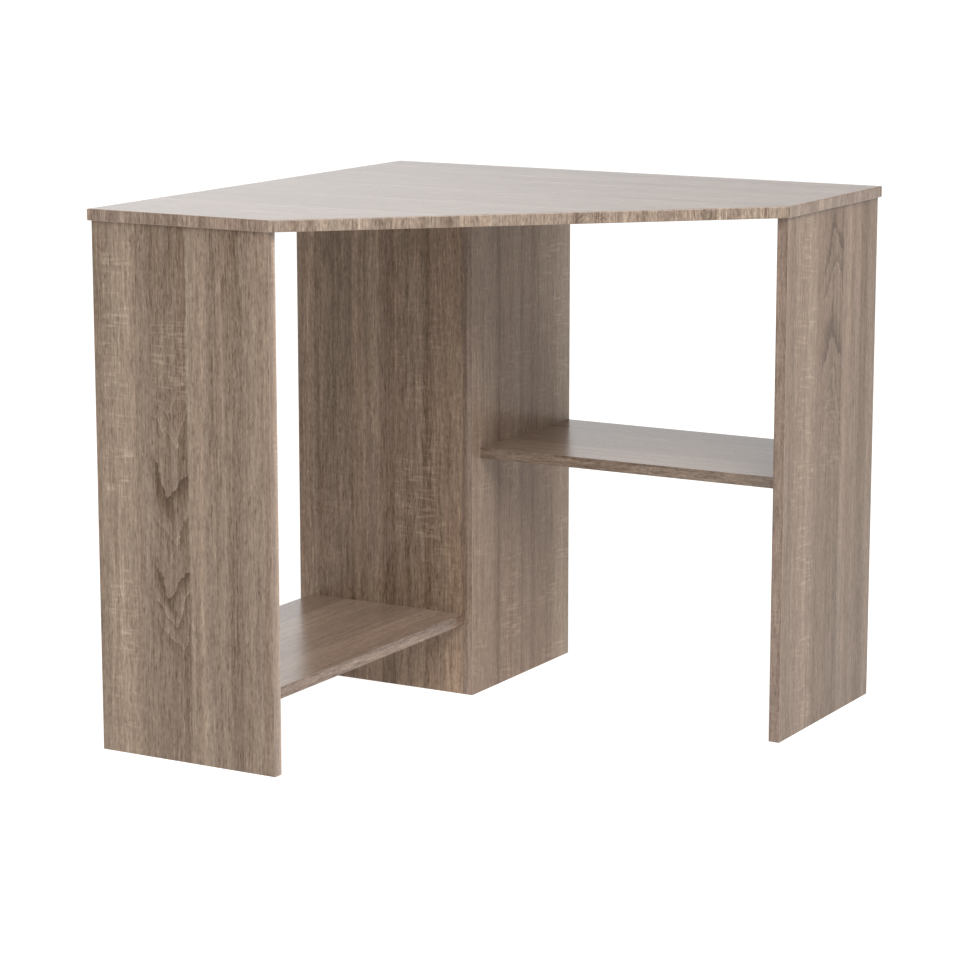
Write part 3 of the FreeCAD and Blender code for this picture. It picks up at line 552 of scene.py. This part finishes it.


# Edging: ABS strip printed to match, 2 mm round the top and 0.8 mm elsewhere. The eye sees the same oak on
# its flat face and the plain brown plastic where its edges are rounded over, set paler than the print so
# that it is also a painted highlight along the rounded edges.
edging = {
    # plain core colour, paler than the print: the real plastic and a painted highlight on rounded edges
    "core": "#8f7b6b",
    "coreShare": 0.55,  # how much of the plain plastic, with its painted highlight, shows through on a rounded edge
    "faceFrom": 0.80,  # slope where the printed face begins to wear into the rounding
    "faceTo": 0.97,
    "roughness": 0.34,
    "ior": 1.53,  # ABS
}
# An edge's cast, as on the boards, is painted light: the colour and shade of the light that falls on it.
edges = {
    "desktop_band_left_end": {
        "turn": "xz", "shift": (1100, 300, 50), "contrast": 1.4,
        "strips": [(0, .50, 0, 0), (60, .52, 0, 0), (62, .46, 0, 0), (130, .50, 0, 0), (132, .40, 0, 0),
                   (160, .52, 0, 0), (200, .44, 0, 0), (204, .60, 0, 0), (250, .46, 0, 0),
                   (292, .56, 0, 0)],
    },
    "desktop_band_diagonal": {
        "turn": "diagonal", "shift": (1500, 100, 80), "contrast": 1.6, "paintedLightCast": "#f6faf9",
        "flameSlope": 0.5, "flameSpan": 34,
        "flames": [(5, 431, .1, .3, 3), (12, 433, .1, .4, 3), (19, 430, .1, .3, 4),
                   (27, 434, .1, .3, 4)],
        "strips": [(0, .58, 0, 0), (37, .58, 0, 0), (39, .42, 0, 0), (60, .44, 0, 0), (63, .60, 0, 0),
                   (143, .58, 0, 0), (145, .42, 0, 0), (163, .44, 0, 0), (166, .58, 0, 0),
                   (225, .56, 0, 0), (228, .42, 0, 0), (254, .44, 0, 0), (258, .60, 0, 0),
                   (330, .52, 0, 0), (332, .62, 0, 0), (407, .60, 0, 0), (410, .44, .8, 0),
                   (454, .42, .8, 0), (457, .60, 0, 0), (520, .54, 0, 0), (584, .60, 0, 0),
                   (587, .38, 0, 0), (608, .40, 0, 0), (611, .60, 0, 0), (712, .60, 0, 0)],
    },
    "desktop_band_right_end": {
        "turn": "yz", "shift": (1900, 500, 30), "contrast": 1.4,
        "strips": [(0, .58, 0, 0), (70, .54, 0, 0), (72, .40, 0, 0), (96, .44, 0, 0), (98, .60, 0, 0),
                   (200, .56, 0, 0), (202, .46, 0, 0), (260, .54, 0, 0), (318, .50, 0, 0)],
    },
    "desktop_band_left_wall": {"turn": "yz", "shift": (2500, 700, 60)},
    "desktop_band_right_wall": {"turn": "xz", "shift": (3300, 900, 70)},
    "left_end_panel_band_front": {"turn": "yz", "shift": (130, 3000, 20)},
    "left_end_panel_band_back": {"turn": "yz", "shift": (160, 3700, 30)},
    "left_inner_panel_band_back": {"turn": "yz", "shift": (190, 4400, 40)},
    "right_inner_panel_band_front": {
        "turn": "xz", "shift": (220, 5100, 50),
        "strips": [(0, .34, 0, .2), (7, .36, 0, .2), (8, .56, 0, .5), (16, .54, 0, .2)],
    },
    "right_inner_panel_band_back": {"turn": "xz", "shift": (250, 5800, 60)},
    "right_end_panel_band_front": {
        "turn": "xz", "shift": (280, 6500, 70), "flameSlope": 6,
        "flames": [(70, 9, .10, .16, 40), (150, 6, .14, .20, 30), (230, 10, .10, .16, 50),
                   (330, 8, .12, .20, 40), (420, 7, .10, .16, 50), (520, 9, .14, .22, 40),
                   (600, 6, .10, .18, 40), (690, 8, .12, .2, 30)],
        "strips": [(0, .42, .4, .4), (6, .50, .4, .6), (16, .36, .4, .4)],
        "runs": [(0, (1, 0, .07)), (350, (1, 0, -.02)), (734, (1, 0, -.13))],
    },
    "right_end_panel_band_back": {"turn": "xz", "shift": (310, 7200, 80)},
    "upper_shelf_band_front": {
        "turn": "zx", "shift": (340, 7900, 90), "contrast": 1.4, "paintedLightCast": "#eaece9", "flameSlope": 7,
        "flames": [(40, 9, .10, .16, 30), (110, 7, .14, .22, 40), (190, 9, .10, .20, 40),
                   (370, 8, .12, .20, 40), (440, 6, .10, .18, 30)],
        "strips": [(0, .46, .3, .3), (8, .56, .5, .6), (16, .44, .3, .3)],
        "runs": [(0, (.2, 0, 0)), (250, (.2, 0, 0)), (268, (1, .8, 0)), (330, (1, .8, 0)),
                 (345, (.2, 0, 0))],
    },
    "upper_shelf_band_back": {"turn": "zx", "shift": (370, 8600, 15)},
    "lower_shelf_band_front": {
        "turn": "zy", "shift": (400, 9300, 25), "contrast": 1.4, "paintedLightCast": "#edeae8", "flameSlope": 8,
        "flames": [(60, -4, .08, .12, 40), (140, -6, .12, .16, 50), (230, -4, .08, .12, 50),
                   (320, -6, .12, .16, 50), (420, -4, .08, .12, 50)],
        "strips": [(0, .48, .4, .2), (8, .58, .4, .3), (16, .50, .4, .2)],
    },
    "lower_shelf_band_back": {"turn": "zy", "shift": (430, 9900, 35)},
}
plainEdge = [(0, .50, 0, .2), (808, 1, 1, 1)]  # strips of the plain ones, paler towards their far edge


def makeEdging(name, s, look):
    material = newMaterial("sawnOakEdging_" + name)
    tree = material.node_tree
    oak = layPrint(tree, {"strips": plainEdge, **s}, *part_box(name))[0]
    turn = Euler([math.radians(angle) for angle in grainTurns[s["turn"]]])
    facing = turn.to_matrix().transposed() @ Vector((0, 0, 1))  # the way the strip's flat face looks
    slope = addNode(tree, "ShaderNodeTexCoord").outputs["Normal"]
    slope = addNode(tree, "ShaderNodeVectorMath", {0: slope, 1: facing}, operation="DOT_PRODUCT")
    slope = addNode(tree, "ShaderNodeMath", {0: slope.outputs["Value"]}, operation="ABSOLUTE")
    # rounded edges take the paler core: the plain plastic showing, and a painted highlight
    coreAndHighlightMask = addNode(tree, "ShaderNodeMapRange", {
        "Value": slope, "From Min": look["faceTo"], "From Max": look["faceFrom"],
        "To Max": look["coreShare"]})
    colour = addNode(tree, "ShaderNodeMix", {0: coreAndHighlightMask, 6: oak["Colour"], 7: hexColour(look["core"])},
                     data_type="RGBA")
    relief = addNode(tree, "ShaderNodeBump", {
        "Strength": oakPrint["reliefStrength"], "Distance": oakPrint["reliefDepth"] * mm,
        "Height": oak["Height"]})
    skin = addNode(tree, "ShaderNodeBsdfPrincipled", {
        "Base Color": colour.outputs[2], "Roughness": look["roughness"], "IOR": look["ior"],
        "Normal": relief})
    addNode(tree, "ShaderNodeOutputMaterial", {"Surface": skin})
    return material


# Fittings. Die-cast zinc: grey and slightly mottled, with the soft gloss of a tumbled casting. Zinc-plated
# steel: brighter, smoother and more finely mottled. Beech: pale pink-brown with short dark flecks along the
# dowels. Sizes in millimetres.
metals = {
    "zinc": {
        "name": "dieCastZinc", "dark": "#8d9094", "pale": "#b4b7ba", "mottle": 1.1,
        "spread": (0.3, 0.7), "rough": (0.36, 0.50), "reliefDepth": 0.05, "reliefStrength": 0.4,
    },
    "plated_steel": {
        "name": "zincPlatedSteel", "dark": "#a9adb0", "pale": "#cfd2d4", "mottle": 0.45,
        "spread": (0.3, 0.7), "rough": (0.22, 0.36), "reliefDepth": 0.02, "reliefStrength": 0.4,
    },
}
beech = {
    "length": 30,  # a dowel's, which tells which way it lies
    "fleck": (0.7, 5.0), "spread": (0.38, 0.60), "dark": "#a67f5b", "pale": "#d3b38f",
    "roughness": 0.62, "ior": 1.5, "reliefDepth": 0.05, "reliefStrength": 0.5,
}


def makeMetal(s):
    material = newMaterial(s["name"])
    tree = material.node_tree
    coords = addNode(tree, "ShaderNodeTexCoord").outputs["Object"]
    mottle = addNode(tree, "ShaderNodeTexNoise", {
        "Vector": coords, "Scale": 1 / (s["mottle"] * mm), "Detail": 3.0})
    colour = addNode(tree, "ShaderNodeMix", {0: mottle, 6: hexColour(s["dark"]), 7: hexColour(s["pale"])},
                     data_type="RGBA")
    rough = addNode(tree, "ShaderNodeMapRange", {
        "Value": mottle, "From Min": s["spread"][0], "From Max": s["spread"][1],
        "To Min": s["rough"][0], "To Max": s["rough"][1]})
    relief = addNode(tree, "ShaderNodeBump", {
        "Strength": s["reliefStrength"], "Distance": s["reliefDepth"] * mm, "Height": mottle})
    skin = addNode(tree, "ShaderNodeBsdfPrincipled", {
        "Base Color": colour.outputs[2], "Metallic": 1.0, "Roughness": rough, "Normal": relief})
    addNode(tree, "ShaderNodeOutputMaterial", {"Surface": skin})
    return material


def makeBeech(name, s):
    # the dowels' grain runs along them, whichever way they lie
    material = newMaterial("beech_" + name)
    tree = material.node_tree
    low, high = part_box(name)
    size = [(high[axis] - low[axis]) / mm for axis in range(3)]
    lie = min(range(3), key=lambda axis: abs(size[axis] - s["length"]))
    scale = [1 / (s["fleck"][1 if axis == lie else 0] * mm) for axis in range(3)]
    coords = addNode(tree, "ShaderNodeTexCoord").outputs["Object"]
    place = addNode(tree, "ShaderNodeMapping", {"Vector": coords, "Scale": scale})
    grain = addNode(tree, "ShaderNodeTexNoise", {"Vector": place, "Scale": 1.0, "Detail": 3.0})
    tone = addNode(tree, "ShaderNodeMapRange", {
        "Value": grain, "From Min": s["spread"][0], "From Max": s["spread"][1]})
    colour = addNode(tree, "ShaderNodeMix", {0: tone, 6: hexColour(s["dark"]), 7: hexColour(s["pale"])},
                     data_type="RGBA")
    relief = addNode(tree, "ShaderNodeBump", {
        "Strength": s["reliefStrength"], "Distance": s["reliefDepth"] * mm, "Height": grain})
    skin = addNode(tree, "ShaderNodeBsdfPrincipled", {
        "Base Color": colour.outputs[2], "Roughness": s["roughness"], "IOR": s["ior"], "Normal": relief})
    addNode(tree, "ShaderNodeOutputMaterial", {"Surface": skin})
    return material


# Cam locks: die-cast drums sunk in the boards' hidden faces, each with a cross recess for the screwdriver
# and an arrow that points to its bolt. Sizes in millimetres.
camLock = {
    "Radius": 7.4,
    "Length": 12.0,
    "Rim": 0.4,
    "Drive Length": 8.0,
    "Drive Width": 1.5,
    "Drive Depth": 2.4,
    "Channel Width": 7.2,  # takes the bolt's head
    "Channel Roof": 7.6,
    "Neck Width": 4.6,  # holds the bolt's neck
    "Mark Size": 1.6,
    "Mark Depth": 0.5,
}
camMesh = {
    "sides": 48,
    "rings": 30,
    "endBand": 0.05,  # rings nearer to an end than this are drawn in for the rim
    "markPlace": 1.5,  # the arrow's middle, in mark sizes from the drum's side
    "markShape": (0.6, 0.6, 1.0),  # of the arrow, to its size
}
# Each joint's cams: the way their driven faces look, the way to their bolts, and how many there are
camJoints = {
    "left_end_panel_top": ("+y", "+z", 2),
    "left_inner_panel_top": ("+y", "+z", 2),
    "right_inner_panel_top": ("-x", "+z", 2),
    "right_end_panel_top": ("-x", "+z", 2),
    "lower_shelf_end": ("-z", "-y", 2),
    "lower_shelf_column": ("-z", "+y", 2),
    "upper_shelf_column": ("-z", "-x", 2),
    "upper_shelf_end": ("-z", "+x", 2),
    "column_corner": ("+y", "+x", 3),
}


def makeCamTree(s, grid):
    # one cam stands at the origin, its driven face at z = 0 and its bolt at +x, then repeats along a line
    tree = bpy.data.node_groups.new("camLocks", "GeometryNodeTree")
    for label in s:
        socket = tree.interface.new_socket(label, in_out="INPUT", socket_type="NodeSocketFloat")
        socket.default_value = s[label] * mm
    tree.interface.new_socket("Count", in_out="INPUT", socket_type="NodeSocketInt")
    for label in ("First", "Step", "Turn"):
        tree.interface.new_socket(label, in_out="INPUT", socket_type="NodeSocketVector")
    tree.interface.new_socket("Finish", in_out="INPUT", socket_type="NodeSocketMaterial")
    tree.interface.new_socket("Geometry", in_out="OUTPUT", socket_type="NodeSocketGeometry")
    inlet = addNode(tree, "NodeGroupInput").outputs

    # drum, with its end rings drawn in for the rim's chamfer
    drum = addNode(tree, "GeometryNodeMeshCylinder", {
        "Vertices": grid["sides"], "Side Segments": grid["rings"], "Radius": inlet["Radius"],
        "Depth": inlet["Length"]})
    point = addNode(tree, "GeometryNodeInputPosition")
    split = addNode(tree, "ShaderNodeSeparateXYZ", {0: point}).outputs
    height = addNode(tree, "ShaderNodeMath", {0: split["Z"]}, operation="ABSOLUTE")
    ends = addNode(tree, "ShaderNodeMath", {0: inlet["Length"], 1: 0.5, 2: -grid["endBand"] * mm},
                   operation="MULTIPLY_ADD")
    ends = addNode(tree, "ShaderNodeMath", {0: height, 1: ends}, operation="GREATER_THAN")
    inward = addNode(tree, "ShaderNodeMath", {0: inlet["Rim"], 1: inlet["Radius"]}, operation="DIVIDE")
    inward = addNode(tree, "ShaderNodeMath", {0: inward, 1: -1.0}, operation="MULTIPLY")
    inward = addNode(tree, "ShaderNodeCombineXYZ", {"X": inward, "Y": inward})
    inward = addNode(tree, "ShaderNodeVectorMath", {0: point, 1: inward}, operation="MULTIPLY")
    drum = addNode(tree, "GeometryNodeSetPosition", {
        "Geometry": drum, "Selection": ends, "Offset": inward})
    half = addNode(tree, "ShaderNodeMath", {0: inlet["Length"], 1: -0.5}, operation="MULTIPLY")
    half = addNode(tree, "ShaderNodeCombineXYZ", {"Z": half})
    drum = addNode(tree, "GeometryNodeTransform", {"Geometry": drum, "Translation": half})

    # what is cut from it: the cross, the arrow, the channel for the bolt's head and the slot for its neck
    cutters = []
    depth = addNode(tree, "ShaderNodeMath", {0: inlet["Drive Depth"], 1: 2.0}, operation="MULTIPLY")
    for across, along in (("Drive Length", "Drive Width"), ("Drive Width", "Drive Length")):
        size = addNode(tree, "ShaderNodeCombineXYZ", {"X": inlet[across], "Y": inlet[along], "Z": depth})
        cutters.append(addNode(tree, "GeometryNodeMeshCube", {"Size": size}))
    depth = addNode(tree, "ShaderNodeMath", {0: inlet["Mark Depth"], 1: 2.0}, operation="MULTIPLY")
    arrow = addNode(tree, "GeometryNodeMeshCylinder", {
        "Vertices": 3, "Radius": inlet["Mark Size"], "Depth": depth})
    out = addNode(tree, "ShaderNodeMath", {
        0: inlet["Mark Size"], 1: -grid["markPlace"], 2: inlet["Radius"]}, operation="MULTIPLY_ADD")
    out = addNode(tree, "ShaderNodeCombineXYZ", {"X": out})
    cutters.append(addNode(tree, "GeometryNodeTransform", {
        "Geometry": arrow, "Translation": out, "Scale": grid["markShape"]}))
    roof = addNode(tree, "ShaderNodeMath", {0: inlet["Channel Roof"], 1: 2.0}, operation="MULTIPLY")
    bottom = addNode(tree, "ShaderNodeMath", {0: inlet["Length"], 1: -1.0}, operation="MULTIPLY")
    long = addNode(tree, "ShaderNodeMath", {0: inlet["Radius"], 1: 4.0}, operation="MULTIPLY")
    # the channel runs in from behind and ends just past the middle, the slot goes on to the front
    behind = addNode(tree, "ShaderNodeMath", {0: inlet["Channel Width"], 1: long}, operation="SUBTRACT")
    for width, reach in (("Channel Width", behind), ("Neck Width", long)):
        size = addNode(tree, "ShaderNodeCombineXYZ", {"X": long, "Y": inlet[width], "Z": roof})
        cube = addNode(tree, "GeometryNodeMeshCube", {"Size": size})
        shift = addNode(tree, "ShaderNodeMath", {0: reach, 1: 0.5}, operation="MULTIPLY")
        move = addNode(tree, "ShaderNodeCombineXYZ", {"X": shift, "Z": bottom})
        cutters.append(addNode(tree, "GeometryNodeTransform", {"Geometry": cube, "Translation": move}))
    cam = addNode(tree, "GeometryNodeMeshBoolean", {"Mesh 1": drum},
                  operation="DIFFERENCE", solver="EXACT")
    for cutter in cutters:
        tree.links.new(cutter.outputs[0], cam.inputs["Mesh 2"])

    line = addNode(tree, "GeometryNodeMeshLine", {
        "Count": inlet["Count"], "Start Location": inlet["First"], "Offset": inlet["Step"]})
    cams = addNode(tree, "GeometryNodeInstanceOnPoints", {
        "Points": line, "Instance": cam, "Rotation": inlet["Turn"]})
    cams = addNode(tree, "GeometryNodeRealizeInstances", {"Geometry": cams})
    cams = addNode(tree, "GeometryNodeSetMaterial", {"Geometry": cams, "Material": inlet["Finish"]})
    addNode(tree, "NodeGroupOutput", {"Geometry": cams})
    return tree


def direction(word):
    way = Vector((0, 0, 0))
    way["xyz".index(word[1])] = -1 if word[0] == "-" else 1
    return way


def makeCams(joint, facing, toBolt, count, s):
    low, high = (Vector(corner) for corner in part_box(joint + "_cams"))
    facing, toBolt = direction(facing), direction(toBolt)
    spread = facing.cross(toBolt)
    row = Vector([abs(part) for part in spread])
    middle = (low + high) / 2
    surface = Vector([high[i] if facing[i] > 0 else low[i] for i in range(3)])
    centre = Vector([surface[i] if facing[i] else middle[i] for i in range(3)])
    room = (high - low).dot(row) - 2 * s["Radius"] * mm  # from the first cam's centre to the last one's
    turn = Matrix((toBolt, spread, facing)).transposed().to_euler()

    blank = bpy.data.meshes.new(joint)
    piece = bpy.data.objects.new(joint + "_cam_locks", blank)
    scene.collection.objects.link(piece)
    modifier = piece.modifiers.new("camLocks", "NODES")
    modifier.node_group = camTree
    sockets = {item.name: item.identifier for item in camTree.interface.items_tree
               if item.in_out == "INPUT"}
    modifier[sockets["Count"]] = count
    modifier[sockets["First"]] = list(centre - row * room / 2)
    modifier[sockets["Step"]] = list(row * room / (count - 1))
    modifier[sockets["Turn"]] = list(turn)
    modifier[sockets["Finish"]] = zincFinish
    seen = piece.evaluated_get(bpy.context.evaluated_depsgraph_get())
    piece.data = bpy.data.meshes.new_from_object(seen)
    piece.modifiers.clear()
    bpy.data.meshes.remove(blank)
    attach(piece, "root")
    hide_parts(joint + "_cams")


printTree = makeOakPrint(oakPrint)
chipTree = makeChipboard(chipboard)
for name, settings in boards.items():
    cadNodes[name].data.materials.clear()
    cadNodes[name].data.materials.append(makeLaminate(name, settings, oakPrint))
print("boards faced:", len(boards))

for name, settings in edges.items():
    cadNodes[name].data.materials.clear()
    cadNodes[name].data.materials.append(makeEdging(name, settings, edging))
print("edges banded:", len(edges))

zincFinish = makeMetal(metals["zinc"])
steelFinish = makeMetal(metals["plated_steel"])
for name, node in cadNodes.items():
    finish = {"cams": zincFinish, "bolts": steelFinish}.get(name.split("_")[-1])
    if name.endswith("_dowels"):
        finish = makeBeech(name, beech)
    if finish:
        node.data.materials.clear()
        node.data.materials.append(finish)
print("fittings finished")

camTree = makeCamTree(camLock, camMesh)
for joint, (facing, toBolt, count) in camJoints.items():
    makeCams(joint, facing, toBolt, count, camLock)
print("cam locks made:", sum(count for *ways, count in camJoints.values()))
